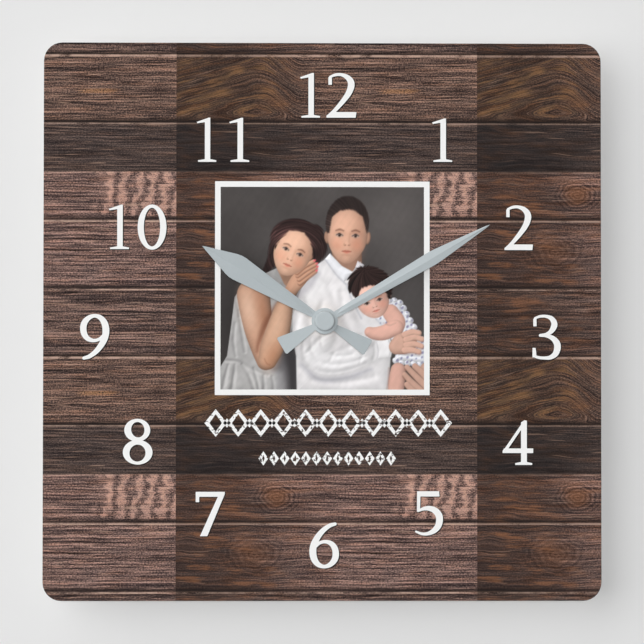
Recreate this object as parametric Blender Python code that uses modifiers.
"""Square acrylic photo wall clock with a quartz movement, modelled at its real size.

Every piece is drawn in the clock's own frame: x to the right, y up and z towards the viewer, with the
hands' axis at x = y = 0 and the wall at z = 0. One empty turns that frame upright, so that the clock
faces -Y, stands along +Z and has its origin on the hands' axis at the wall.
"""

import math

import bmesh
import bpy
from mathutils import Matrix, Vector

MM = 0.001

# Clearances
SEAT = 0.3 * MM  # between two pieces that rest on each other
RUN = 0.15 * MM  # round a turning pivot
WELD = 0.001 * MM
MERGE = 0.01 * MM

# Printed acrylic panel
PANEL_SIDE = 273.0 * MM
PANEL_CORNER = 9.0 * MM
PANEL_THICK = 3.0 * MM
PANEL_EDGE = 0.35 * MM
PANEL_HOLE_ROOM = 0.5 * MM
PANEL_SHIFT = -0.9 * MM  # its middle lies this far to the left of the hands' axis

# Fixings on the threaded bush
GASKET_RADIUS = 11.0 * MM
GASKET_THICK = 1.0 * MM
WASHER_RADIUS = 6.2 * MM
WASHER_THICK = 0.5 * MM
NUT_FLATS = 11.0 * MM
NUT_THICK = 2.0 * MM
NUT_SIDES = 6
NUT_CHAMFER = 0.3 * MM
THREAD_RADIUS = 4.0 * MM
THREAD_BEYOND_NUT = 0.7 * MM
THREAD_LEAD = 0.3 * MM
BUSH_FLANGE_RADIUS = 5.6 * MM
BUSH_FLANGE_THICK = 0.8 * MM

# Hands: lengths from the axis to the tip and to the tail end, widths across
HOUR_ANGLE = math.radians(301.5)
HOUR_TIP = 70.0 * MM
HOUR_SHOULDER = 51.0 * MM
HOUR_WIDTH = 12.6 * MM
HOUR_NECK_WIDTH = 3.3 * MM
HOUR_TAIL = 24.9 * MM
HOUR_TAIL_WIDTH = 8.6 * MM
MINUTE_ANGLE = math.radians(59.7)
MINUTE_TIP = 93.3 * MM
MINUTE_SHOULDER = 61.5 * MM
MINUTE_WIDTH = 6.9 * MM
MINUTE_NECK_WIDTH = 3.2 * MM
MINUTE_TAIL = 24.4 * MM
MINUTE_TAIL_WIDTH = 9.4 * MM
SHOULDER_ROUND = 2.4 * MM  # how far the rounding reaches each way from the shoulder
TAIL_NECK_WIDTH = 3.9 * MM
TAIL_CORNER = 0.7 * MM
HAND_SHEET = 0.5 * MM
RIDGE_HEIGHT = 0.6 * MM
RIDGE_CREASE = 6  # degrees
HAND_HUB_RADIUS = 6.35 * MM
HAND_HUB_STEP = 0.06 * MM
HAND_HOLE_REACH = 2.0 * MM  # how far a hole's cutter runs past the sheet
COLLET_RADIUS = 4.2 * MM
COLLET_THICK = 0.9 * MM
COLLET_NECK_WALL = 0.55 * MM
HANDS_APART = 0.7 * MM  # air between the hour hand's ridge and the minute hand
CAP_RADIUS = 4.9 * MM
CAP_HEIGHT = 2.6 * MM
CAP_ROUND = 0.9 * MM
CAP_ROOF = 0.9 * MM

# Hollow arbors, from the inside out
SECONDS_PIN = 0.5 * MM
MINUTE_BORE = 0.8 * MM
MINUTE_ARBOR = 1.75 * MM
MINUTE_THREAD = 1.35 * MM
MINUTE_FLAT = 1.05 * MM  # from the axis to each flat that keys the minute hand
MINUTE_NECK = 1.45 * MM  # under the cannon pinion
MINUTE_REAR = 1.25 * MM  # inside the centre wheel
FLAT_LENGTH = 3.0 * MM
MINUTE_COLLAR = 2.4 * MM
HOUR_TUBE_WALL = 0.5 * MM
HOUR_TUBE_BEYOND_HAND = 0.3 * MM
HOUR_TUBE_STEP = 0.05 * MM  # behind the hour wheel
BUSH_BORE_ROOM = 0.4 * MM

# Wheels and pinions
WHEEL_THICK = 0.7 * MM
MOTION_THICK = 0.8 * MM
LAYER_GAP = 0.9 * MM
PIVOT = 0.5 * MM
ROTOR_PIVOT = 0.35 * MM
PINION_BEYOND = 0.3 * MM  # how far a pinion runs past the wheel that it drives
ADDENDUM = 0.8
DEDENDUM = 1.25
ROTOR_LEAVES, FIFTH_TEETH = 8, 60
FIFTH_LEAVES, FOURTH_TEETH = 10, 40
FOURTH_LEAVES, THIRD_TEETH = 8, 60
THIRD_LEAVES, CENTRE_TEETH = 8, 64
CANNON_LEAVES, MINUTE_TEETH = 10, 30
MINUTE_LEAVES, HOUR_TEETH = 8, 32
SETTING_LEAVES = 12

# Centre distances and the direction of each next axis
CENTRE_TO_THIRD = 10.4 * MM
THIRD_DIRECTION = math.radians(140)
CENTRE_TO_FIFTH = 10.5 * MM
FIFTH_DIRECTION = math.radians(10)
FIFTH_TO_ROTOR = 6.8 * MM
ROTOR_DIRECTION = math.radians(50)
CENTRE_TO_MINUTE = 8.0 * MM
MINUTE_DIRECTION = math.radians(192)
SETTING_DIRECTION = math.radians(184.4)

# Clutch and centre plate
CLUTCH_RADIUS = 3.4 * MM
CLUTCH_HUB = 2.2 * MM
CLUTCH_THICK = 0.25 * MM
COLLAR_THICK = 0.5 * MM
PLATE_THICK = 0.8 * MM
PLATE_CORNER = 2.0 * MM
PLATE_HOLE_ROOM = 0.5 * MM
PLATE_MARGIN = 0.4 * MM  # between the plate and the divider
PLATE_BEYOND_MAGNET = 3.0 * MM
PLATE_OVER_SETTING = 4.0 * MM

# Movement case
CASE_WALL = 1.4 * MM
CASE_CORNER = 2.5 * MM
CASE_EDGE = 0.5 * MM
DIVIDER = 1.2 * MM
WHEEL_ROOM = 0.6 * MM  # between the centre wheel and the divider
BAY_WALL = 0.7 * MM
BAY_ROOM = 0.4 * MM
CONTACT_ROOM = 1.35 * MM  # at each end of the cell
CELL_SET_IN = 0.35 * MM
COIL_HEIGHT = 21.0 * MM
COIL_ROOM = 1.8 * MM
BOSS_RADIUS = 1.5 * MM
BOSS_HEIGHT = 0.6 * MM
BOSS_AIR = 0.5 * MM
POST_RADIUS = 1.5 * MM
UPPER_POST_IN = 8.1 * MM  # from the case's inner side wall to the upper left post
UPPER_POST_HEIGHT = 12.5 * MM
LOWER_POST_IN = 3.0 * MM
LOWER_POST_UP = 3.8 * MM  # over the divider
BOARD_SIDE_POST_OUT = 2.9 * MM  # from the board's edge
BOARD_SIDE_POST_UP = 2.7 * MM
ROTOR_POST_LEFT = 1.5 * MM
ROTOR_POST_OVER = 6.1 * MM
BOARD_POST_RADIUS = 1.3 * MM
BOARD_POST_IN = 2.2 * MM  # from the board's edges
LIP_LENGTH = 9.0 * MM
LIP_REACH = 1.3 * MM
LIP_THICK = 0.9 * MM
LIP_OFFSET = 15.0 * MM
LIP_SET_IN = 0.1 * MM
NOTCH_RADIUS = 8.0 * MM
NOTCH_OUTSIDE = 2.0 * MM  # how far its centre lies outside the case's back
TONGUE_WIDTH = 5.0 * MM
TONGUE_THICK = 0.8 * MM
TONGUE_REACH = 3.2 * MM
TONGUE_HEIGHTS = (7.5 * MM, 19.5 * MM)
BARB_REACH = 0.9 * MM
BARB_THICK = 0.9 * MM
BARB_NARROWER = 0.4 * MM
BARB_BELOW_TIP = 0.1 * MM
TONGUE_ROOT_STEP = 0.2 * MM
BEARING_RIM = 1.3 * MM  # wall round the stem's bearing

# Hanging loop on top of the case
LOOP_WIDTH = 24.0 * MM
LOOP_RISE = 10.0 * MM
LOOP_THICK = 2.4 * MM
LOOP_CORNER = 4.5 * MM
LOOP_ROOT = 4.0 * MM  # how far it runs down into the case's back
SLOT_WIDTH = 14.0 * MM
SLOT_HEIGHT = 5.2 * MM
SLOT_CORNER = 2.0 * MM
SLOT_BAR = 2.6 * MM  # material over the slot
NAIL_NOTCH = 1.2 * MM

# Setting knob in its cup
KNOB_RADIUS = 4.5 * MM
KNOB_THICK = 2.8 * MM
KNOB_SET_IN = 0.4 * MM
KNOB_FLUTES = 16
KNOB_FLUTE_DEPTH = 0.25 * MM
KNOB_EDGE = 0.3 * MM
KNOB_SLOT_WIDTH = 1.0 * MM
KNOB_SLOT_LENGTH = 6.0 * MM
KNOB_SLOT_DEPTH = 0.6 * MM
STEM_RADIUS = 1.5 * MM
STEM_PIVOT = 1.0 * MM
CUP_ROOM = 0.5 * MM
CUP_FLOOR_ROOM = 0.4 * MM
CUP_WALL = 0.9 * MM

# Stepping motor
MAGNET_RADIUS = 2.4 * MM
MAGNET_THICK = 3.0 * MM
ROTOR_HUB = 0.75 * MM
ROTOR_FLANGE = 1.6 * MM
ROTOR_FLANGE_THICK = 0.3 * MM
STATOR_THICK = 1.0 * MM
STATOR_AIR = 0.5 * MM
STATOR_RIM = 1.2 * MM
STATOR_NOTCH = 0.35 * MM
NOTCH_POINTS = (3, 4)  # of the twelve points on each half of the rotor's hole
STATOR_OVER_FOURTH = 0.6 * MM
ARM_WIDTH = 3.4 * MM
ARM_LEFT = 3.9 * MM
ARM_SET_IN = 3.3 * MM  # from the case's inner side wall to the right arm's middle
ARM_CORNER = 0.8 * MM
CORE_THICK = 1.0 * MM
CORE_WIDTH = 3.2 * MM
BARREL_WALL = 0.7 * MM
FLANGE_SIDE = 7.6 * MM
FLANGE_THICK = 0.8 * MM
WINDING_DEPTH = 0.7 * MM
WINDING_CORNER = 1.0 * MM
SCREW_SHANK = 0.8 * MM
SCREW_HEAD = 1.5 * MM
SCREW_HEAD_THICK = 0.9 * MM
SCREW_DEPTH = 1.8 * MM
SCREW_BOSS_RADIUS = 1.6 * MM

# Electronics
BOARD_WIDTH = 11.1 * MM
BOARD_HEIGHT = 10.4 * MM
BOARD_SET_IN = 1.1 * MM  # from the case's inner side wall
BOARD_OVER_DIVIDER = 0.9 * MM
BOARD_CORNER = 0.6 * MM
BOARD_THICK = 0.8 * MM
BOARD_ABOVE_FIFTH = 2.4 * MM
CHIP_RADIUS = 2.0 * MM
CHIP_HEIGHT = 1.0 * MM
CHIP_IN = 3.8 * MM  # from the board's left and lower edges
CRYSTAL_RADIUS = 1.0 * MM
CRYSTAL_LENGTH = 5.6 * MM
CRYSTAL_IN = 2.1 * MM  # from the board's right edge
CRYSTAL_DOWN = 4.4 * MM  # from its upper edge
CRYSTAL_EDGE = 0.2 * MM
LEAD_RADIUS = 0.2 * MM
LEAD_LENGTH = 1.3 * MM
LEAD_INSIDE = 0.65 * MM
LEAD_SEGMENTS = 8

# Cell and contacts
CELL_RADIUS = 7.25 * MM
CELL_LENGTH = 50.5 * MM
CELL_NUB_RADIUS = 2.75 * MM
CELL_NUB_LENGTH = 1.0 * MM
CELL_ROUND = 0.5 * MM
STRIP_THICK = 0.35 * MM
NEGATIVE_WIDTH = 3.4 * MM
POSITIVE_WIDTH = 5.0 * MM
SPRING_LEAF = 6.0 * MM
CONTACT_DIP = 4.5 * MM
NEGATIVE_PAST_BOARD = 3.0 * MM
POSITIVE_ON_BOARD = 2.0 * MM

# Facets round a full turn
ROUND_SEGMENTS = 24
SMALL_SEGMENTS = 12
TOOTHED_SEGMENTS = 16

PARTS = None
CUTTERS = None
AXES = None


def polar(distance, direction, origin=(0.0, 0.0)):
    return (origin[0] + distance * math.cos(direction), origin[1] + distance * math.sin(direction))


# Axes of the train
CENTRE = (0.0, 0.0)
THIRD = polar(CENTRE_TO_THIRD, THIRD_DIRECTION)
FIFTH = polar(CENTRE_TO_FIFTH, FIFTH_DIRECTION)
ROTOR = polar(FIFTH_TO_ROTOR, ROTOR_DIRECTION, FIFTH)
MINUTE = polar(CENTRE_TO_MINUTE, MINUTE_DIRECTION)

# Modules that make each pair mesh at its centre distance
ROTOR_MODULE = 2 * FIFTH_TO_ROTOR / (ROTOR_LEAVES + FIFTH_TEETH)
FIFTH_MODULE = 2 * CENTRE_TO_FIFTH / (FIFTH_LEAVES + FOURTH_TEETH)
FOURTH_MODULE = 2 * CENTRE_TO_THIRD / (FOURTH_LEAVES + THIRD_TEETH)
THIRD_MODULE = 2 * CENTRE_TO_THIRD / (THIRD_LEAVES + CENTRE_TEETH)
CANNON_MODULE = 2 * CENTRE_TO_MINUTE / (CANNON_LEAVES + MINUTE_TEETH)
MOTION_MODULE = 2 * CENTRE_TO_MINUTE / (MINUTE_LEAVES + HOUR_TEETH)
SETTING_DISTANCE = (SETTING_LEAVES + MINUTE_TEETH) * CANNON_MODULE / 2
SETTING = polar(SETTING_DISTANCE, SETTING_DIRECTION, MINUTE)

# Depths from the wall, in the order of assembly
BOSS_TOP = CASE_WALL + BOSS_HEIGHT
PIVOT_REAR = CASE_WALL + SEAT
FIFTH_Z = BOSS_TOP + BOSS_AIR
FOURTH_Z = FIFTH_Z + WHEEL_THICK + LAYER_GAP
THIRD_Z = FOURTH_Z + WHEEL_THICK + LAYER_GAP
CENTRE_Z = THIRD_Z + WHEEL_THICK + LAYER_GAP
CLUTCH_Z = CENTRE_Z + WHEEL_THICK + SEAT
COLLAR_Z = CLUTCH_Z + CLUTCH_THICK + SEAT
REAR_DEPTH = COLLAR_Z + COLLAR_THICK
PLATE_Z = REAR_DEPTH + SEAT
PLATE_TOP = PLATE_Z + PLATE_THICK
PIVOT_FRONT = PLATE_TOP - SEAT
CANNON_Z = PLATE_TOP + SEAT
MINUTE_Z = CANNON_Z + 0.1 * MM
CANNON_TOP = MINUTE_Z + MOTION_THICK + 0.2 * MM
HOUR_Z = CANNON_TOP + SEAT
HOUR_TOP = HOUR_Z + MOTION_THICK
BUSH_Z = HOUR_TOP + 0.4 * MM
BUSH_FLANGE_TOP = BUSH_Z + BUSH_FLANGE_THICK
CELL_FRONT = CELL_SET_IN + 2 * CELL_RADIUS
BAY_FLOOR = CELL_FRONT + SEAT
CASE_DEPTH = max(BUSH_FLANGE_TOP + SEAT + CASE_WALL, BAY_FLOOR + BAY_WALL)
FRONT_FLOOR = CASE_DEPTH - CASE_WALL
GASKET_Z = CASE_DEPTH + SEAT
PANEL_Z = GASKET_Z + GASKET_THICK + SEAT
PANEL_TOP = PANEL_Z + PANEL_THICK
WASHER_Z = PANEL_TOP + SEAT
NUT_Z = WASHER_Z + WASHER_THICK + SEAT
BUSH_END = NUT_Z + NUT_THICK + THREAD_BEYOND_NUT
COLLET_Z = BUSH_END + 0.4 * MM
HOUR_HAND_Z = COLLET_Z + COLLET_THICK + SEAT
HOUR_TUBE_END = HOUR_HAND_Z + HAND_SHEET + HOUR_TUBE_BEYOND_HAND
MINUTE_HAND_Z = HOUR_HAND_Z + HAND_SHEET + RIDGE_HEIGHT + HANDS_APART
MINUTE_SHOULDER_Z = MINUTE_HAND_Z - SEAT
CAP_Z = MINUTE_HAND_Z + HAND_SHEET + RIDGE_HEIGHT / 2 + SEAT
MINUTE_ARBOR_END = CAP_Z + CAP_HEIGHT - CAP_ROOF - SEAT
STATOR_Z = FOURTH_Z + WHEEL_THICK + STATOR_OVER_FOURTH
CORE_Z = STATOR_Z + STATOR_THICK + SEAT
BOARD_Z = FIFTH_Z + WHEEL_THICK + BOARD_ABOVE_FIFTH

# Radii that follow from what they go round
HOUR_TUBE_BORE = MINUTE_ARBOR + SEAT
HOUR_TUBE = HOUR_TUBE_BORE + HOUR_TUBE_WALL
BUSH_BORE = HOUR_TUBE + BUSH_BORE_ROOM
COLLET_BORE = HOUR_TUBE + SEAT
COLLET_NECK = COLLET_BORE + COLLET_NECK_WALL

# Outline of the movement case
CENTRE_TIP_RADIUS = CENTRE_TEETH * THIRD_MODULE / 2 + ADDENDUM * THIRD_MODULE
DIVIDER_TOP = -(CENTRE_TIP_RADIUS + WHEEL_ROOM)
BAY_TOP = DIVIDER_TOP - DIVIDER
BAY_LOW = BAY_TOP - 2 * (CELL_RADIUS + BAY_ROOM)
CASE_LOW = BAY_LOW - CASE_WALL
CASE_HIGH = COIL_HEIGHT + FLANGE_SIDE / 2 + COIL_ROOM + CASE_WALL
BAY_HALF = CELL_LENGTH / 2 + CONTACT_ROOM
CASE_HALF = BAY_HALF + CASE_WALL
CELL_Y = (BAY_TOP + BAY_LOW) / 2
ARM_RIGHT = BAY_HALF - ARM_SET_IN

# Circuit board
BOARD_RIGHT = BAY_HALF - BOARD_SET_IN
BOARD_LEFT = BOARD_RIGHT - BOARD_WIDTH
BOARD_LOW = DIVIDER_TOP + BOARD_OVER_DIVIDER
BOARD_HIGH = BOARD_LOW + BOARD_HEIGHT
CHIP = (BOARD_LEFT + CHIP_IN, BOARD_LOW + CHIP_IN)
CRYSTAL = (BOARD_RIGHT - CRYSTAL_IN, BOARD_HIGH - CRYSTAL_DOWN)
BOARD_POSTS = [
    (BOARD_LEFT + BOARD_POST_IN, BOARD_LOW + BOARD_POST_IN),
    (BOARD_RIGHT - BOARD_POST_IN, BOARD_HIGH - BOARD_POST_IN),
]

# Posts under the centre plate
UPPER_LEFT_POST = (UPPER_POST_IN - BAY_HALF, UPPER_POST_HEIGHT)
LOWER_LEFT_POST = (LOWER_POST_IN - BAY_HALF, DIVIDER_TOP + LOWER_POST_UP)
LOWER_RIGHT_POST = (BOARD_LEFT - BOARD_SIDE_POST_OUT, DIVIDER_TOP + BOARD_SIDE_POST_UP)
UPPER_RIGHT_POST = (ROTOR[0] - ROTOR_POST_LEFT, ROTOR[1] + ROTOR_POST_OVER)
PLATE_POSTS = [UPPER_LEFT_POST, LOWER_LEFT_POST, LOWER_RIGHT_POST, UPPER_RIGHT_POST]


def clear_scene():
    for obj in list(bpy.data.objects):
        bpy.data.objects.remove(obj, do_unlink=True)


def make_collection(name):
    collection = bpy.data.collections.new(name)
    bpy.context.scene.collection.children.link(collection)
    return collection


def material(name, colour, roughness, metallic=0.0):
    mat = bpy.data.materials.new(name)
    mat.use_nodes = True
    shader = mat.node_tree.nodes["Principled BSDF"]
    shader.inputs["Base Color"].default_value = (*colour, 1.0)
    shader.inputs["Roughness"].default_value = roughness
    shader.inputs["Metallic"].default_value = metallic
    return mat


def add(name, mesh, at=(0.0, 0.0), z=0.0, turn=(0.0, 0.0, 0.0)):
    """Puts a mesh into the scene as an object of the clock's frame."""
    obj = bpy.data.objects.new(name, mesh)
    PARTS.objects.link(obj)
    obj.parent = AXES
    obj.location = (at[0], at[1], z)
    obj.rotation_euler = turn
    return obj


def finish(obj, mat, smooth=True, crease=35):
    obj.data.materials.clear()
    obj.data.materials.append(mat)
    if smooth:
        obj.data.shade_smooth()
        obj.data.set_sharp_from_angle(angle=math.radians(crease))
    return obj


def helper(obj):
    """Makes an object a hidden cutter, or a hidden part of a join."""
    PARTS.objects.unlink(obj)
    CUTTERS.objects.link(obj)
    obj.hide_render = True
    obj.display_type = "WIRE"
    return obj


def boolean(obj, other, operation):
    modifier = obj.modifiers.new(operation.title() + " " + other.name, "BOOLEAN")
    modifier.operation = operation
    modifier.object = helper(other)
    modifier.solver = "EXACT"


def join(obj, *others):
    for other in others:
        boolean(obj, other, "UNION")
    return obj


def cut(obj, *others):
    for other in others:
        boolean(obj, other, "DIFFERENCE")
    return obj


def set_at(obj, angle):
    """Turns a piece about the hands' axis, clockwise for the viewer, with all that cuts or joins it."""
    operands = [modifier.object for modifier in obj.modifiers if modifier.type == "BOOLEAN"]
    for each in [obj] + operands:
        each.rotation_euler.z = -angle


def bevel(obj, width, segments=1):
    modifier = obj.modifiers.new("Rounded edges", "BEVEL")
    modifier.width = width
    modifier.segments = segments
    modifier.limit_method = "ANGLE"
    modifier.angle_limit = math.radians(40)
    return obj


def block(name, low, high):
    """A box between two corners."""
    mesh = bpy.data.meshes.new(name)
    shape = bmesh.new()
    bmesh.ops.create_cube(shape, size=1.0)
    size = Vector(high) - Vector(low)
    middle = (Vector(high) + Vector(low)) / 2
    place = Matrix.Translation(middle) @ Matrix.Diagonal((*size, 1.0))
    bmesh.ops.transform(shape, matrix=place, verts=shape.verts)
    shape.to_mesh(mesh)
    shape.free()
    return add(name, mesh)


def rod(name, radius, z0, z1, at=(0.0, 0.0), segments=ROUND_SEGMENTS, turn=(0.0, 0.0, 0.0)):
    """A cylinder along z."""
    mesh = bpy.data.meshes.new(name)
    shape = bmesh.new()
    bmesh.ops.create_cone(
        shape, cap_ends=True, segments=segments, radius1=radius, radius2=radius, depth=z1 - z0,
        matrix=Matrix.Translation((0, 0, (z0 + z1) / 2)),
    )
    shape.to_mesh(mesh)
    shape.free()
    return add(name, mesh, at, turn=turn)


def turned(name, profile, at=(0.0, 0.0), segments=ROUND_SEGMENTS, ring=False, z=0.0, turn=(0.0, 0.0, 0.0)):
    """A turned piece: (radius, z) points that run down the outer side. A ring's profile closes on itself."""
    mesh = bpy.data.meshes.new(name)
    points = [(radius, 0.0, height) for radius, height in profile]
    edges = [(i, i + 1) for i in range(len(points) - 1)]
    if ring:
        edges.append((len(points) - 1, 0))
    mesh.from_pydata(points, edges, [])
    obj = add(name, mesh, at, z, turn)
    screw = obj.modifiers.new("Turning", "SCREW")
    screw.axis = "Z"
    screw.steps = segments
    screw.render_steps = segments
    screw.use_merge_vertices = True
    screw.merge_threshold = MERGE
    return obj


def tube(name, inner, outer, z0, z1, at=(0.0, 0.0), segments=ROUND_SEGMENTS):
    return turned(name, [(inner, z1), (outer, z1), (outer, z0), (inner, z0)], at, segments, ring=True)


def plate(name, loops, z0, z1, at=(0.0, 0.0), z=0.0, turn=(0.0, 0.0, 0.0)):
    """A flat sheet with the given outline and holes, from z0 to z1."""
    curve = bpy.data.curves.new(name, "CURVE")
    curve.dimensions = "2D"
    curve.fill_mode = "BOTH"
    curve.extrude = (z1 - z0) / 2
    for loop in loops:
        spline = curve.splines.new("POLY")
        spline.points.add(len(loop) - 1)
        for point, (x, y) in zip(spline.points, loop):
            point.co = (x, y, 0.0, 1.0)
        spline.use_cyclic_u = True
    guide = bpy.data.objects.new(name + "_outline", curve)
    bpy.context.scene.collection.objects.link(guide)
    graph = bpy.context.evaluated_depsgraph_get()
    mesh = bpy.data.meshes.new_from_object(guide.evaluated_get(graph))
    bpy.data.objects.remove(guide)
    bpy.data.curves.remove(curve)
    shape = bmesh.new()
    shape.from_mesh(mesh)
    bmesh.ops.remove_doubles(shape, verts=shape.verts, dist=WELD)
    bmesh.ops.translate(shape, verts=shape.verts, vec=(0, 0, (z0 + z1) / 2))
    bmesh.ops.recalc_face_normals(shape, faces=shape.faces)
    shape.to_mesh(mesh)
    shape.free()
    return add(name, mesh, at, z, turn)


def circle(radius, at=(0.0, 0.0), points=TOOTHED_SEGMENTS):
    return [polar(radius, 2 * math.pi * i / points, at) for i in range(points)]


def rectangle(left, low, right, high):
    return [(left, low), (right, low), (right, high), (left, high)]


def rounded(corners, radius, steps=3):
    """The loop through these corners, anticlockwise, with an arc at each."""
    loop = []
    for i, corner in enumerate(corners):
        corner = Vector(corner)
        back = (Vector(corners[i - 1]) - corner).normalized()
        on = (Vector(corners[(i + 1) % len(corners)]) - corner).normalized()
        half = back.angle(on) / 2
        middle = corner + (back + on).normalized() * radius / math.sin(half)
        spoke = corner + back * radius / math.tan(half) - middle
        sweep = math.pi - 2 * half
        if back.x * on.y - back.y * on.x > 0:
            sweep = -sweep
        for step in range(steps + 1):
            loop.append(middle + Matrix.Rotation(sweep * step / steps, 2) @ spoke)
    return loop


def gear_loop(teeth, module, phase, leaves=False):
    """A gear's outline, with a tooth centred at the angle phase. Leaves get a point at the pitch circle too."""
    pitch = teeth * module / 2
    turn = 2 * math.pi / teeth
    root, tip = pitch - DEDENDUM * module, pitch + ADDENDUM * module
    flank = [(root, 0.285), (tip, 0.105)]
    if leaves:
        flank = [(root, 0.205), (pitch, 0.20), (tip, 0.085)]
    loop = []
    for i in range(teeth):
        middle = phase + i * turn
        loop += [polar(radius, middle - share * turn) for radius, share in flank]
        loop += [polar(radius, middle + share * turn) for radius, share in reversed(flank)]
    return loop


def meshing(phase, teeth, other_teeth, direction):
    """The phase of a gear that meshes with one of the given phase, seen from it in the given direction."""
    return direction + math.pi - ((phase - direction) * teeth + math.pi) / other_teeth


def direction_of(start, end):
    return math.atan2(end[1] - start[1], end[0] - start[0])


def make_panel():
    half = PANEL_SIDE / 2
    square = rounded(rectangle(PANEL_SHIFT - half, -half, PANEL_SHIFT + half, half), PANEL_CORNER, 7)
    hole = circle(THREAD_RADIUS + PANEL_HOLE_ROOM, points=ROUND_SEGMENTS)
    panel = plate("face_panel", [square, hole], PANEL_Z, PANEL_TOP)
    bevel(panel, PANEL_EDGE)
    finish(panel, material("printed_acrylic", (0.16, 0.11, 0.09), 0.12))


def make_fixings():
    steel = material("plated_steel", (0.62, 0.6, 0.55), 0.35, 1.0)
    brass = material("brass", (0.72, 0.55, 0.26), 0.3, 1.0)
    bore = THREAD_RADIUS + SEAT
    gasket = tube("rubber_gasket", bore, GASKET_RADIUS, GASKET_Z, GASKET_Z + GASKET_THICK)
    finish(gasket, material("black_rubber", (0.03, 0.03, 0.03), 0.85))
    washer = tube("washer", bore, WASHER_RADIUS, WASHER_Z, WASHER_Z + WASHER_THICK)
    finish(washer, steel)
    nut = plate("fixing_nut", [circle(NUT_FLATS / math.sqrt(3), points=NUT_SIDES)], NUT_Z, NUT_Z + NUT_THICK)
    bevel(nut, NUT_CHAMFER)
    cut(nut, rod("nut_bore", bore, NUT_Z - MM, NUT_Z + NUT_THICK + MM))
    finish(nut, brass, smooth=False)
    bush = turned(
        "threaded_bush",
        [
            (BUSH_BORE, BUSH_END), (THREAD_RADIUS - THREAD_LEAD, BUSH_END),
            (THREAD_RADIUS, BUSH_END - THREAD_LEAD), (THREAD_RADIUS, BUSH_FLANGE_TOP),
            (BUSH_FLANGE_RADIUS, BUSH_FLANGE_TOP), (BUSH_FLANGE_RADIUS, BUSH_Z), (BUSH_BORE, BUSH_Z),
        ],
        ring=True,
    )
    finish(bush, brass)


def hand_blade(name, z, tip, shoulder, width, neck_width, tail, tail_width):
    """The stamped sheet of a hand, pointing up: stations along it, each with two edges and a raised middle."""
    hub = HAND_HUB_RADIUS

    def half_at(u):
        if u < -hub:
            return (TAIL_NECK_WIDTH + (tail_width - TAIL_NECK_WIDTH) * (-u - hub) / (tail - hub)) / 2
        if u < shoulder:
            return (neck_width + (width - neck_width) * max(u - hub, 0.0) / (shoulder - hub)) / 2
        return width / 2 * (tip - u) / (tip - shoulder)

    soft = SHOULDER_ROUND
    eased = (half_at(shoulder - soft) + half_at(shoulder + soft)) / 2
    stations = [
        (-tail, half_at(-tail) - TAIL_CORNER, 0.0),
        (-tail + TAIL_CORNER, half_at(-tail + TAIL_CORNER), 0.0),
        (-hub, half_at(-hub), 0.0),
        (hub, half_at(hub), 0.0),
        (2 * hub, half_at(2 * hub), RIDGE_HEIGHT),
        (shoulder - soft, half_at(shoulder - soft), RIDGE_HEIGHT),
        (shoulder, (half_at(shoulder) + eased) / 2, RIDGE_HEIGHT),
        (shoulder + soft, half_at(shoulder + soft), RIDGE_HEIGHT),
        (tip - soft, half_at(tip - soft), RIDGE_HEIGHT / 2),
    ]
    shape = bmesh.new()
    rows = []
    for u, half, ridge in stations:
        row = [shape.verts.new((x, u, z + lift)) for x, lift in ((-half, 0.0), (0.0, ridge), (half, 0.0))]
        rows.append(row)
    for lower, upper in zip(rows, rows[1:]):
        shape.faces.new((lower[0], lower[1], upper[1], upper[0]))
        shape.faces.new((lower[1], lower[2], upper[2], upper[1]))
    point = shape.verts.new((0.0, tip, z))
    shape.faces.new((rows[-1][0], rows[-1][1], point))
    shape.faces.new((rows[-1][1], rows[-1][2], point))
    mesh = bpy.data.meshes.new(name)
    shape.to_mesh(mesh)
    shape.free()
    blade = add(name, mesh)
    sheet = blade.modifiers.new("Sheet", "SOLIDIFY")
    sheet.thickness = HAND_SHEET
    sheet.offset = 1.0
    return blade


def hand_hub(name, z):
    return rod(name, HAND_HUB_RADIUS, z - HAND_HUB_STEP, z + HAND_SHEET + HAND_HUB_STEP)


def make_hour_hand(paint):
    hand = hand_blade(
        "hour_hand", HOUR_HAND_Z, HOUR_TIP, HOUR_SHOULDER, HOUR_WIDTH, HOUR_NECK_WIDTH,
        HOUR_TAIL, HOUR_TAIL_WIDTH,
    )
    join(hand, hand_hub("hour_hub", HOUR_HAND_Z))
    reach = HAND_HOLE_REACH
    cut(hand, rod("hour_hand_hole", COLLET_NECK + SEAT, HOUR_HAND_Z - reach, HOUR_HAND_Z + reach))
    set_at(hand, HOUR_ANGLE)
    finish(hand, paint, crease=RIDGE_CREASE)
    collet = turned(
        "hour_hand_bush",
        [
            (COLLET_BORE, HOUR_HAND_Z + HAND_SHEET), (COLLET_NECK, HOUR_HAND_Z + HAND_SHEET),
            (COLLET_NECK, COLLET_Z + COLLET_THICK), (COLLET_RADIUS, COLLET_Z + COLLET_THICK),
            (COLLET_RADIUS, COLLET_Z), (COLLET_BORE, COLLET_Z),
        ],
        ring=True,
    )
    finish(collet, material("turned_aluminium", (0.75, 0.75, 0.76), 0.3, 1.0))


def keyed_loop(radius, flat):
    """A circle with two flats, one on each side of the axis."""
    reach = math.acos(flat / radius)
    right = [polar(radius, reach + (math.pi - 2 * reach) * i / 6) for i in range(7)]
    left = [polar(radius, math.pi + reach + (math.pi - 2 * reach) * i / 6) for i in range(7)]
    return right + left


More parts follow.
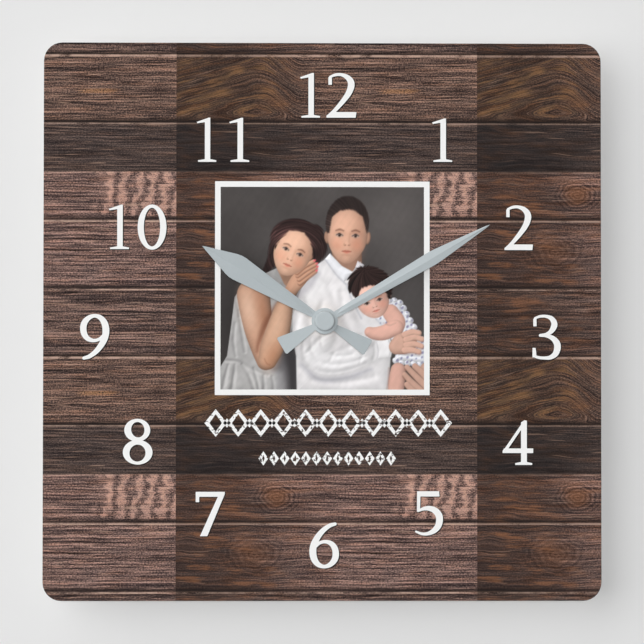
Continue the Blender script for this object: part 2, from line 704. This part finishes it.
def make_minute_hand(paint):
    hand = hand_blade(
        "minute_hand", MINUTE_HAND_Z, MINUTE_TIP, MINUTE_SHOULDER, MINUTE_WIDTH, MINUTE_NECK_WIDTH,
        MINUTE_TAIL, MINUTE_TAIL_WIDTH,
    )
    join(hand, hand_hub("minute_hub", MINUTE_HAND_Z))
    hole = keyed_loop(MINUTE_THREAD + SEAT, MINUTE_FLAT + SEAT)
    reach = HAND_HOLE_REACH
    cut(hand, plate("minute_hand_hole", [hole], MINUTE_HAND_Z - reach, MINUTE_HAND_Z + reach))
    set_at(hand, MINUTE_ANGLE)
    finish(hand, paint, crease=RIDGE_CREASE)


def make_cap(paint):
    """The closed nut that holds the minute hand: a shallow button with a rounded rim and a blind bore."""
    top = CAP_Z + CAP_HEIGHT
    rim = [
        (CAP_RADIUS - CAP_ROUND * (1 - math.sin(a)), top - CAP_ROUND * (1 - math.cos(a)))
        for a in (math.radians(22.5 * i) for i in range(5))
    ]
    bore = MINUTE_THREAD + SEAT
    roof = top - CAP_ROOF
    profile = [(0.0, top)] + rim + [(CAP_RADIUS, CAP_Z), (bore, CAP_Z), (bore, roof), (0.0, roof)]
    finish(turned("cap_nut", profile), paint)


def make_minute_arbor(steel):
    """The hollow arbor of the minute hand: cannon pinion, collar for the clutch and keyed front end."""
    arbor = turned(
        "minute_arbor",
        [
            (MINUTE_BORE, MINUTE_ARBOR_END), (MINUTE_THREAD, MINUTE_ARBOR_END),
            (MINUTE_THREAD, MINUTE_SHOULDER_Z), (MINUTE_ARBOR, MINUTE_SHOULDER_Z),
            (MINUTE_ARBOR, CANNON_TOP + SEAT / 2), (MINUTE_NECK, CANNON_TOP + SEAT / 2),
            (MINUTE_NECK, COLLAR_Z + COLLAR_THICK), (MINUTE_COLLAR, COLLAR_Z + COLLAR_THICK),
            (MINUTE_COLLAR, COLLAR_Z), (MINUTE_REAR, COLLAR_Z),
            (MINUTE_REAR, CENTRE_Z - SEAT), (MINUTE_COLLAR, CENTRE_Z - SEAT),
            (MINUTE_COLLAR, THIRD_Z + WHEEL_THICK + SEAT), (MINUTE_BORE, THIRD_Z + WHEEL_THICK + SEAT),
        ],
        segments=TOOTHED_SEGMENTS, ring=True,
    )
    bore = circle((MINUTE_BORE + MINUTE_NECK) / 2)
    leaves = gear_loop(CANNON_LEAVES, CANNON_MODULE, 0.0, leaves=True)
    join(arbor, plate("cannon_pinion", [leaves, bore], CANNON_Z, CANNON_TOP))
    for name, side in (("left_flat", -1), ("right_flat", 1)):
        low, high = sorted((side * MINUTE_FLAT, side * 2 * MINUTE_THREAD))
        end = MINUTE_ARBOR_END + MM
        cut(arbor, block(name, (low, -FLAT_LENGTH, MINUTE_SHOULDER_Z), (high, FLAT_LENGTH, end)))
    set_at(arbor, MINUTE_ANGLE)
    finish(arbor, steel)


def make_hour_wheel(plastic):
    """The hour wheel with the tube that carries the hour hand."""
    phase = meshing(0.0, MINUTE_LEAVES, HOUR_TEETH, direction_of(MINUTE, CENTRE))
    bore = circle((HOUR_TUBE + HOUR_TUBE_BORE) / 2, points=ROUND_SEGMENTS)
    wheel = plate("hour_wheel", [gear_loop(HOUR_TEETH, MOTION_MODULE, phase), bore], HOUR_Z, HOUR_TOP)
    join(wheel, tube("hour_tube", HOUR_TUBE_BORE, HOUR_TUBE, HOUR_Z - HOUR_TUBE_STEP, HOUR_TUBE_END))
    finish(wheel, plastic)


def arbor_profile(ends, sections):
    """A solid arbor's profile: ends are its front and rear z, sections (radius, rear z) from the front."""
    height, rear = ends
    profile = [(0.0, height)]
    for radius, low in sections:
        profile += [(radius, height), (radius, low)]
        height = low
    return profile + [(0.0, rear)]


def geared(name, at, wheel, pinion, pinion_span, plastic, pivots, pivot=PIVOT):
    """A moulded wheel with pinion and arbor: wheel is (teeth, module, phase, z0, z1), pinion the first three."""
    teeth, module, phase, z0, z1 = wheel
    obj = plate(name, [gear_loop(teeth, module, phase)], z0, z1, at)
    leaves, leaf_module, leaf_phase = pinion
    low, high = pinion_span
    join(obj, plate(name + "_pinion", [gear_loop(leaves, leaf_module, leaf_phase, leaves=True)], low, high, at))
    join(obj, rod(name + "_arbor", pivot, pivots[0], pivots[1], at, SMALL_SEGMENTS))
    finish(obj, plastic)
    return obj


def make_train(plastic, steel):
    """The going train from the fifth wheel to the centre wheel, each meshed with the one before."""
    overlap = WHEEL_THICK / 4
    fifth_phase = meshing(0.0, ROTOR_LEAVES, FIFTH_TEETH, direction_of(ROTOR, FIFTH))
    geared(
        "fifth_wheel", FIFTH, (FIFTH_TEETH, ROTOR_MODULE, fifth_phase, FIFTH_Z, FIFTH_Z + WHEEL_THICK),
        (FIFTH_LEAVES, FIFTH_MODULE, 0.0),
        (FIFTH_Z + WHEEL_THICK - overlap, FOURTH_Z + WHEEL_THICK + PINION_BEYOND), plastic,
        (PIVOT_REAR, PIVOT_FRONT),
    )
    fourth_phase = meshing(0.0, FIFTH_LEAVES, FOURTH_TEETH, direction_of(FIFTH, CENTRE))
    geared(
        "fourth_wheel", CENTRE, (FOURTH_TEETH, FIFTH_MODULE, fourth_phase, FOURTH_Z, FOURTH_Z + WHEEL_THICK),
        (FOURTH_LEAVES, FOURTH_MODULE, 0.0),
        (FOURTH_Z + WHEEL_THICK - overlap, THIRD_Z + WHEEL_THICK), plastic,
        (PIVOT_REAR, MINUTE_ARBOR_END - MM), SECONDS_PIN,
    )
    third_phase = meshing(0.0, FOURTH_LEAVES, THIRD_TEETH, direction_of(CENTRE, THIRD))
    geared(
        "third_wheel", THIRD, (THIRD_TEETH, FOURTH_MODULE, third_phase, THIRD_Z, THIRD_Z + WHEEL_THICK),
        (THIRD_LEAVES, THIRD_MODULE, 0.0),
        (THIRD_Z + WHEEL_THICK - overlap, CENTRE_Z + WHEEL_THICK + PINION_BEYOND), plastic,
        (PIVOT_REAR, PIVOT_FRONT),
    )
    centre_phase = meshing(0.0, THIRD_LEAVES, CENTRE_TEETH, direction_of(THIRD, CENTRE))
    bore = circle(MINUTE_REAR + SEAT, points=ROUND_SEGMENTS)
    teeth = gear_loop(CENTRE_TEETH, THIRD_MODULE, centre_phase)
    centre = plate("centre_wheel", [teeth, bore], CENTRE_Z, CENTRE_Z + WHEEL_THICK)
    finish(centre, plastic)
    lobes = [
        polar(CLUTCH_RADIUS if i % 4 < 2 else CLUTCH_HUB, 2 * math.pi * (i + 0.5) / 12) for i in range(12)
    ]
    clutch = plate("clutch_spring", [lobes, bore], CLUTCH_Z, CLUTCH_Z + CLUTCH_THICK)
    finish(clutch, steel, smooth=False)


def make_motion_work(plastic):
    """The minute wheel and the setting wheel, in front of the centre plate."""
    minute_phase = meshing(-MINUTE_ANGLE, CANNON_LEAVES, MINUTE_TEETH, direction_of(CENTRE, MINUTE))
    geared(
        "minute_wheel", MINUTE, (MINUTE_TEETH, CANNON_MODULE, minute_phase, MINUTE_Z, MINUTE_Z + MOTION_THICK),
        (MINUTE_LEAVES, MOTION_MODULE, 0.0),
        (MINUTE_Z + MOTION_THICK * 0.75, HOUR_TOP + 0.2 * MM), plastic, (PLATE_Z + SEAT, FRONT_FLOOR - SEAT),
    )
    setting_phase = meshing(minute_phase, MINUTE_TEETH, SETTING_LEAVES, direction_of(MINUTE, SETTING))
    leaves = gear_loop(SETTING_LEAVES, CANNON_MODULE, setting_phase, leaves=True)
    setting = plate("setting_wheel", [leaves, circle(STEM_PIVOT + SEAT)], CANNON_Z, CANNON_TOP, SETTING)
    finish(setting, plastic)


def make_knob(plastic):
    """The setting knob at the back, with a fluted rim and a stem that reaches the motion work."""
    rim = [
        polar(KNOB_RADIUS - KNOB_FLUTE_DEPTH * (i % 2), math.pi * i / KNOB_FLUTES)
        for i in range(2 * KNOB_FLUTES)
    ]
    knob = plate("setting_knob", [rim], KNOB_SET_IN, KNOB_SET_IN + KNOB_THICK, SETTING)
    bevel(knob, KNOB_EDGE)
    stem = turned(
        "setting_stem",
        arbor_profile(
            (FRONT_FLOOR - SEAT, KNOB_SET_IN + KNOB_THICK / 2),
            [(STEM_PIVOT, CANNON_Z - SEAT), (STEM_RADIUS, KNOB_SET_IN + KNOB_THICK / 2)],
        ),
        SETTING, SMALL_SEGMENTS,
    )
    across, along = KNOB_SLOT_WIDTH / 2, KNOB_SLOT_LENGTH / 2
    slot = block("knob_grip_slot", (-across, -along, -MM), (across, along, KNOB_SET_IN + KNOB_SLOT_DEPTH))
    slot.location.x, slot.location.y = SETTING
    join(knob, stem)
    cut(knob, slot)
    finish(knob, plastic)


def make_rotor(plastic):
    """The stepping motor's rotor: a magnet ring on a moulded hub with its pinion."""
    flange_z = FIFTH_Z + WHEEL_THICK + PINION_BEYOND + 0.2 * MM
    magnet_z = flange_z + ROTOR_FLANGE_THICK + SEAT
    hub = plate(
        "rotor_pinion", [gear_loop(ROTOR_LEAVES, ROTOR_MODULE, 0.0, leaves=True)],
        FIFTH_Z - PINION_BEYOND, flange_z + ROTOR_FLANGE_THICK / 2, ROTOR,
    )
    profile = arbor_profile(
        (PIVOT_FRONT, PIVOT_REAR),
        [
            (ROTOR_PIVOT, magnet_z + MAGNET_THICK + SEAT), (ROTOR_HUB, flange_z + ROTOR_FLANGE_THICK),
            (ROTOR_FLANGE, flange_z), (ROTOR_PIVOT, PIVOT_REAR),
        ],
    )
    join(hub, turned("rotor_arbor", profile, ROTOR, SMALL_SEGMENTS))
    finish(hub, plastic)
    magnet = tube("rotor_magnet", ROTOR_HUB + SEAT, MAGNET_RADIUS, magnet_z, magnet_z + MAGNET_THICK, ROTOR)
    finish(magnet, material("ferrite", (0.06, 0.06, 0.065), 0.5, 0.3))


def make_stator(steel):
    """The U-shaped pole plate: a bar round the rotor and two arms up to the coil."""
    hole = MAGNET_RADIUS + STATOR_AIR
    rotor_hole = []
    for i in range(24):
        notch = STATOR_NOTCH if i % 12 in NOTCH_POINTS else 0.0
        rotor_hole.append(polar(hole + notch, 2 * math.pi * i / 24, ROTOR))
    low, high = ROTOR[1] - hole - STATOR_RIM, ROTOR[1] + hole + STATOR_RIM
    left, right, half = ARM_LEFT, ARM_RIGHT, ARM_WIDTH / 2
    tip = COIL_HEIGHT + CORE_WIDTH / 2
    outline = [
        (left - half, low), (right + half, low), (right + half, tip), (right - half, tip),
        (right - half, high), (left + half, high), (left + half, tip), (left - half, tip),
    ]
    holes = [circle(SCREW_SHANK + SEAT, (x, COIL_HEIGHT)) for x in (left, right)]
    stator = plate(
        "stator_plate", [rounded(outline, ARM_CORNER, 2), rotor_hole, *holes], STATOR_Z, STATOR_Z + STATOR_THICK
    )
    finish(stator, steel, smooth=False)
    core = plate(
        "coil_core",
        [
            rounded(rectangle(left - half, COIL_HEIGHT - CORE_WIDTH / 2, right + half, tip), ARM_CORNER, 2),
            *holes,
        ],
        CORE_Z, CORE_Z + CORE_THICK,
    )
    finish(core, steel, smooth=False)
    for name, x in (("motor_screw_left", left), ("motor_screw_right", right)):
        head = CORE_Z + CORE_THICK + SEAT
        profile = arbor_profile(
            (head + SCREW_HEAD_THICK, STATOR_Z - SCREW_DEPTH),
            [(SCREW_HEAD, head), (SCREW_SHANK, STATOR_Z - SCREW_DEPTH)],
        )
        finish(turned(name, profile, (x, COIL_HEIGHT), SMALL_SEGMENTS), steel)


def make_coil():
    """The bobbin and its winding, both lying along x round the core."""
    middle = CORE_Z + CORE_THICK / 2
    start = ARM_LEFT + ARM_WIDTH / 2 + SEAT
    end = ARM_RIGHT - ARM_WIDTH / 2 - SEAT
    hole_y, hole_z = CORE_WIDTH / 2 + SEAT, CORE_THICK / 2 + SEAT
    barrel_y, barrel_z = hole_y + BARREL_WALL, hole_z + BARREL_WALL
    half = FLANGE_SIDE / 2

    def around(name, y, z, x0, x1):
        return block(name, (x0, COIL_HEIGHT - y, middle - z), (x1, COIL_HEIGHT + y, middle + z))

    bobbin = around("coil_bobbin", barrel_y, barrel_z, start + FLANGE_THICK / 2, end - FLANGE_THICK / 2)
    join(
        bobbin,
        around("left_flange", half, half, start, start + FLANGE_THICK),
        around("right_flange", half, half, end - FLANGE_THICK, end),
    )
    cut(bobbin, around("core_hole", hole_y, hole_z, start - MM, end + MM))
    finish(bobbin, material("green_plastic", (0.16, 0.32, 0.2), 0.5), smooth=False)
    inner_y, inner_z = barrel_y + SEAT, barrel_z + SEAT
    outer_y, outer_z = inner_y + WINDING_DEPTH, inner_z + WINDING_DEPTH
    loops = [
        rounded(rectangle(-outer_z, -outer_y, outer_z, outer_y), WINDING_CORNER, 3),
        rectangle(-inner_z, -inner_y, inner_z, inner_y),
    ]
    length = end - start - 2 * FLANGE_THICK - 2 * SEAT
    winding = plate(
        "coil_winding", loops, -length / 2, length / 2, ((start + end) / 2, COIL_HEIGHT), middle,
        (0.0, math.radians(90), 0.0),
    )
    finish(winding, material("enamelled_copper", (0.55, 0.24, 0.1), 0.35, 0.8))


def make_electronics():
    board = plate(
        "circuit_board",
        [rounded(rectangle(BOARD_LEFT, BOARD_LOW, BOARD_RIGHT, BOARD_HIGH), BOARD_CORNER, 2)],
        BOARD_Z, BOARD_Z + BOARD_THICK,
    )
    finish(board, material("circuit_laminate", (0.05, 0.22, 0.12), 0.45), smooth=False)
    base = BOARD_Z + BOARD_THICK + SEAT
    dome = [
        (CHIP_RADIUS * math.sin(a), base + CHIP_HEIGHT * math.cos(a))
        for a in (math.radians(22.5 * i) for i in range(5))
    ]
    chip = turned("controller_chip", dome + [(0.0, base)], CHIP, SMALL_SEGMENTS)
    finish(chip, material("black_epoxy", (0.02, 0.02, 0.02), 0.3))
    x, y = CRYSTAL
    lying = (math.radians(-90), 0.0, 0.0)
    half = CRYSTAL_LENGTH / 2
    can = turned(
        "quartz_crystal",
        [
            (0.0, half), (CRYSTAL_RADIUS - CRYSTAL_EDGE, half), (CRYSTAL_RADIUS, half - CRYSTAL_EDGE),
            (CRYSTAL_RADIUS, -half), (0.0, -half),
        ],
        (x, y), SMALL_SEGMENTS, z=base + CRYSTAL_RADIUS, turn=lying,
    )
    for name, side in (("left_lead", -1), ("right_lead", 1)):
        low, high = -half - LEAD_LENGTH, LEAD_INSIDE - half
        lead = rod(name, LEAD_RADIUS, low, high, segments=LEAD_SEGMENTS, turn=lying)
        lead.location = (x + side * CRYSTAL_RADIUS / 2, y, base + CRYSTAL_RADIUS)
        join(can, lead)
    finish(can, material("nickel_can", (0.7, 0.7, 0.68), 0.25, 1.0))


def strip(name, path, z0, width, metal):
    """A bent spring strip: its path seen from the front, and its width in depth."""
    shape = bmesh.new()
    rows = [[shape.verts.new((x, y, z)) for z in (z0, z0 + width)] for x, y in path]
    for low, high in zip(rows, rows[1:]):
        shape.faces.new((low[0], low[1], high[1], high[0]))
    mesh = bpy.data.meshes.new(name)
    shape.to_mesh(mesh)
    shape.free()
    obj = add(name, mesh)
    sheet = obj.modifiers.new("Sheet", "SOLIDIFY")
    sheet.thickness = STRIP_THICK
    sheet.offset = 0.0
    sheet.use_even_offset = True
    finish(obj, metal, smooth=False)
    return obj


def strip_x():
    """How far from the middle the strips run up the end walls."""
    return BAY_HALF - SEAT - STRIP_THICK / 2


def strip_z():
    """The rear z of each strip: negative, then positive."""
    return BOARD_Z - SEAT - NEGATIVE_WIDTH, REAR_DEPTH - SEAT - POSITIVE_WIDTH


def make_power():
    """The cell in its bay and the two strips that join it to the board."""
    profile = [
        (0.0, CELL_LENGTH / 2), (CELL_NUB_RADIUS, CELL_LENGTH / 2),
        (CELL_NUB_RADIUS, CELL_LENGTH / 2 - CELL_NUB_LENGTH),
        (CELL_RADIUS - CELL_ROUND, CELL_LENGTH / 2 - CELL_NUB_LENGTH),
        (CELL_RADIUS, CELL_LENGTH / 2 - CELL_NUB_LENGTH - CELL_ROUND),
        (CELL_RADIUS, -CELL_LENGTH / 2 + CELL_ROUND), (CELL_RADIUS - CELL_ROUND, -CELL_LENGTH / 2),
        (0.0, -CELL_LENGTH / 2),
    ]
    lying = (0.0, math.radians(90), 0.0)
    cell = turned("battery_cell", profile, (0.0, CELL_Y), z=CELL_SET_IN + CELL_RADIUS, turn=lying)
    finish(cell, material("cell_sleeve", (0.12, 0.13, 0.14), 0.35))
    metal = material("nickel_strip", (0.72, 0.71, 0.66), 0.3, 1.0)
    x = strip_x()
    near = CELL_LENGTH / 2 + SEAT + STRIP_THICK / 2
    negative_z, positive_z = strip_z()
    along = DIVIDER_TOP + SEAT + STRIP_THICK / 2
    negative = [
        (BOARD_LEFT + NEGATIVE_PAST_BOARD, along), (-x, along), (-x, CELL_Y + SPRING_LEAF),
        (-near, CELL_Y + SPRING_LEAF / 3), (-near, CELL_Y - SPRING_LEAF / 3), (-x, CELL_Y - SPRING_LEAF),
    ]
    strip("negative_contact", negative, negative_z, NEGATIVE_WIDTH, metal)
    positive = [
        (x, CELL_Y - CONTACT_DIP), (near, CELL_Y - CONTACT_DIP / 2), (near, CELL_Y + CONTACT_DIP / 2),
        (x, CELL_Y + CONTACT_DIP), (x, BOARD_HIGH + SEAT + STRIP_THICK / 2),
        (BOARD_RIGHT - POSITIVE_ON_BOARD, BOARD_HIGH + SEAT + STRIP_THICK / 2),
    ]
    strip("positive_contact", positive, positive_z, POSITIVE_WIDTH, metal)


def make_centre_plate(plastic):
    """The middle bridge, with a bearing hole for each arbor that it carries."""
    low = DIVIDER_TOP + PLATE_MARGIN
    left = LOWER_LEFT_POST[0] - POST_RADIUS
    right = ROTOR[0] + MAGNET_RADIUS + PLATE_BEYOND_MAGNET
    high = UPPER_RIGHT_POST[1] + POST_RADIUS
    outline = [
        (left, low), (right, low), (right, high), (UPPER_LEFT_POST[0] - POST_RADIUS, high),
        (left, SETTING[1] + PLATE_OVER_SETTING),
    ]
    holes = [circle(MINUTE_NECK + PLATE_HOLE_ROOM, points=ROUND_SEGMENTS), circle(STEM_RADIUS + SEAT, SETTING)]
    holes += [circle(PIVOT + RUN, at) for at in (THIRD, FIFTH, MINUTE)]
    holes.append(circle(ROTOR_PIVOT + RUN, ROTOR))
    bridge = plate("centre_plate", [rounded(outline, PLATE_CORNER, 3), *holes], PLATE_Z, PLATE_TOP)
    finish(bridge, plastic, smooth=False)


def case_shell(name, z0, z1):
    """A closed block with the case's outline."""
    outline = rounded(rectangle(-CASE_HALF, CASE_LOW, CASE_HALF, CASE_HIGH), CASE_CORNER, 4)
    return bevel(plate(name, [outline], z0, z1), CASE_EDGE)


def boss(name, at, radius, z0, z1, points=SMALL_SEGMENTS):
    return rod(name, radius, z0, z1, at, points)


def tongue_places():
    return [(side, height) for side in (-1, 1) for height in TONGUE_HEIGHTS]


def side_block(name, side, x0, x1, y, width, z0, z1):
    """A box at one side of the case, from x0 to x1 outwards."""
    low, high = sorted((side * x0, side * x1))
    return block(name, (low, y - width / 2, z0), (high, y + width / 2, z1))


def make_front_case(plastic):
    """The dial side of the case: a tray with the gear chamber, the cell's bay and two bearing bosses."""
    start = REAR_DEPTH + SEAT
    case = case_shell("front_case", start, CASE_DEPTH)
    over = start - MM
    cut(
        case,
        block("front_chamber", (-BAY_HALF, DIVIDER_TOP, over), (BAY_HALF, CASE_HIGH - CASE_WALL, FRONT_FLOOR)),
        block("front_bay", (-BAY_HALF, BAY_LOW, over), (BAY_HALF, BAY_TOP, BAY_FLOOR)),
    )
    join(
        case,
        boss("minute_boss", MINUTE, BOSS_RADIUS, HOUR_TOP + BOSS_AIR, FRONT_FLOOR + CASE_WALL / 2),
        boss("setting_boss", SETTING, STEM_PIVOT + BEARING_RIM, CANNON_TOP + SEAT, FRONT_FLOOR + CASE_WALL / 2),
    )
    cut(
        case,
        boss("minute_bearing", MINUTE, PIVOT + RUN, HOUR_TOP, FRONT_FLOOR),
        boss("setting_bearing", SETTING, STEM_PIVOT + SEAT, CANNON_TOP, FRONT_FLOOR),
        rod("bush_hole", THREAD_RADIUS + SEAT, FRONT_FLOOR - MM, CASE_DEPTH + MM),
    )
    window = BARB_THICK + 2 * SEAT
    barb_z = REAR_DEPTH + TONGUE_REACH - BARB_THICK
    for i, (side, y) in enumerate(tongue_places()):
        cut(
            case,
            side_block(
                f"snap_window_{i}", side, BAY_HALF - MM, CASE_HALF + MM, y, TONGUE_WIDTH + 2 * SEAT,
                barb_z - SEAT, barb_z - SEAT + window,
            ),
        )
    finish(case, plastic, smooth=False)


def loop_outline():
    half = LOOP_WIDTH / 2
    return rounded(
        rectangle(-half, CASE_HIGH - LOOP_ROOT - LOOP_CORNER, half, CASE_HIGH + LOOP_RISE), LOOP_CORNER, 5
    )


def slot_outline():
    half = SLOT_WIDTH / 2
    high = CASE_HIGH + LOOP_RISE - SLOT_BAR
    low = high - SLOT_HEIGHT
    steps = 3
    corners = rounded(rectangle(-half, low, half, high), SLOT_CORNER, steps)
    notch = [(NAIL_NOTCH, high), (0.0, high + NAIL_NOTCH / 2), (-NAIL_NOTCH, high)]
    # the notch goes between the two upper arcs, which are the third and fourth of four
    upper_left = 3 * (steps + 1)
    return corners[:upper_left] + notch + corners[upper_left:]


def make_rear_case(plastic):
    """The wall side of the case: gear chamber, open cell bay, knob cup, snap tongues and hanging loop."""
    case = case_shell("rear_case", 0.0, REAR_DEPTH)
    over = REAR_DEPTH + MM
    cut(
        case,
        block("rear_chamber", (-BAY_HALF, DIVIDER_TOP, CASE_WALL), (BAY_HALF, CASE_HIGH - CASE_WALL, over)),
        block("rear_bay", (-BAY_HALF, BAY_LOW, -MM), (BAY_HALF, BAY_TOP, over)),
    )
    root = CASE_WALL / 2
    cup_floor = KNOB_SET_IN + KNOB_THICK + CUP_FLOOR_ROOM
    cup_radius = KNOB_RADIUS + CUP_ROOM
    pieces = [boss("knob_cup", SETTING, cup_radius + CUP_WALL, root, cup_floor + CUP_WALL, ROUND_SEGMENTS)]
    for name, at in (("centre", CENTRE), ("third", THIRD), ("fifth", FIFTH), ("rotor", ROTOR)):
        pieces.append(boss(name + "_boss", at, BOSS_RADIUS, root, BOSS_TOP))
    for i, at in enumerate(PLATE_POSTS):
        pieces.append(boss(f"plate_post_{i}", at, POST_RADIUS, root, REAR_DEPTH))
    for i, at in enumerate(BOARD_POSTS):
        pieces.append(boss(f"board_post_{i}", at, BOARD_POST_RADIUS, root, BOARD_Z - SEAT))
    for name, x in (("left", ARM_LEFT), ("right", ARM_RIGHT)):
        pieces.append(boss(name + "_screw_boss", (x, COIL_HEIGHT), SCREW_BOSS_RADIUS, root, STATOR_Z - SEAT))
    pieces.append(plate("hanging_loop", [loop_outline(), slot_outline()], 0.0, LOOP_THICK))
    for i, x in enumerate((-LIP_OFFSET, LIP_OFFSET)):
        low, high = x - LIP_LENGTH / 2, x + LIP_LENGTH / 2
        upper = ((low, BAY_TOP - LIP_REACH, LIP_SET_IN), (high, BAY_TOP + root, LIP_THICK))
        lower = ((low, BAY_LOW - root, LIP_SET_IN), (high, BAY_LOW + LIP_REACH, LIP_THICK))
        pieces += [block(f"upper_lip_{i}", *upper), block(f"lower_lip_{i}", *lower)]
    for i, (side, y) in enumerate(tongue_places()):
        inner = BAY_HALF - SEAT - TONGUE_THICK
        tip = REAR_DEPTH + TONGUE_REACH
        pieces.append(
            side_block(f"snap_tongue_{i}", side, inner, BAY_HALF - SEAT, y, TONGUE_WIDTH, REAR_DEPTH / 2, tip)
        )
        pieces.append(
            side_block(
                f"snap_root_{i}", side, BAY_HALF - SEAT - TONGUE_THICK / 2, BAY_HALF + root, y,
                TONGUE_WIDTH / 2, REAR_DEPTH / 2 + TONGUE_ROOT_STEP, REAR_DEPTH - SEAT,
            )
        )
        pieces.append(
            side_block(
                f"snap_barb_{i}", side, BAY_HALF - SEAT - TONGUE_THICK / 2, BAY_HALF - SEAT + BARB_REACH, y,
                TONGUE_WIDTH - BARB_NARROWER, tip - BARB_THICK, tip - BARB_BELOW_TIP,
            )
        )
    join(case, *pieces)
    bores = [
        boss("cup_hollow", SETTING, cup_radius, -MM, cup_floor, ROUND_SEGMENTS),
        boss("stem_hole", SETTING, STEM_RADIUS + SEAT, 0.0, cup_floor + 2 * CUP_WALL),
    ]
    for name, at, radius in (
        ("centre", CENTRE, SECONDS_PIN), ("third", THIRD, PIVOT), ("fifth", FIFTH, PIVOT),
        ("rotor", ROTOR, ROTOR_PIVOT),
    ):
        bores.append(boss(name + "_bearing", at, radius + RUN, CASE_WALL, BOSS_TOP + MM))
    for name, x in (("left", ARM_LEFT), ("right", ARM_RIGHT)):
        depth = STATOR_Z - SCREW_DEPTH - SEAT
        bores.append(boss(name + "_screw_bore", (x, COIL_HEIGHT), SCREW_SHANK + SEAT, depth, STATOR_Z + MM))
    negative_z, positive_z = strip_z()
    for name, side, z, width in (
        ("negative_slot", -1, negative_z, NEGATIVE_WIDTH), ("positive_slot", 1, positive_z, POSITIVE_WIDTH)
    ):
        inner = strip_x() - STRIP_THICK / 2 - SEAT
        low, high = sorted((side * inner, side * BAY_HALF))
        bores.append(block(name, (low, BAY_TOP - MM, z - SEAT), (high, DIVIDER_TOP + MM, z + width + SEAT)))
    bores.append(
        rod("finger_notch", NOTCH_RADIUS, -CASE_WALL - MM, CASE_WALL + MM, turn=(math.radians(90), 0.0, 0.0))
    )
    bores[-1].location = (0.0, CASE_LOW, -NOTCH_OUTSIDE)
    cut(case, *bores)
    finish(case, plastic, smooth=False)


def main():
    global PARTS, CUTTERS, AXES
    clear_scene()
    PARTS = make_collection("square_wall_clock")
    CUTTERS = make_collection("cutters")
    AXES = bpy.data.objects.new("clock_axes", None)
    PARTS.objects.link(AXES)
    AXES.rotation_euler.x = math.radians(90)

    black = material("black_plastic", (0.025, 0.025, 0.027), 0.5)
    white = material("white_acetal", (0.82, 0.82, 0.8), 0.4)
    steel = material("bright_steel", (0.6, 0.6, 0.6), 0.3, 1.0)
    paint = material("hand_paint", (0.45, 0.52, 0.55), 0.4, 0.3)

    make_panel()
    make_fixings()
    make_hour_hand(paint)
    make_minute_hand(paint)
    make_cap(paint)
    make_minute_arbor(steel)
    make_hour_wheel(white)
    make_train(white, steel)
    make_motion_work(white)
    make_knob(black)
    make_rotor(white)
    make_stator(steel)
    make_coil()
    make_electronics()
    make_power()
    make_centre_plate(white)
    make_front_case(black)
    make_rear_case(black)
    bpy.context.view_layer.update()


main()
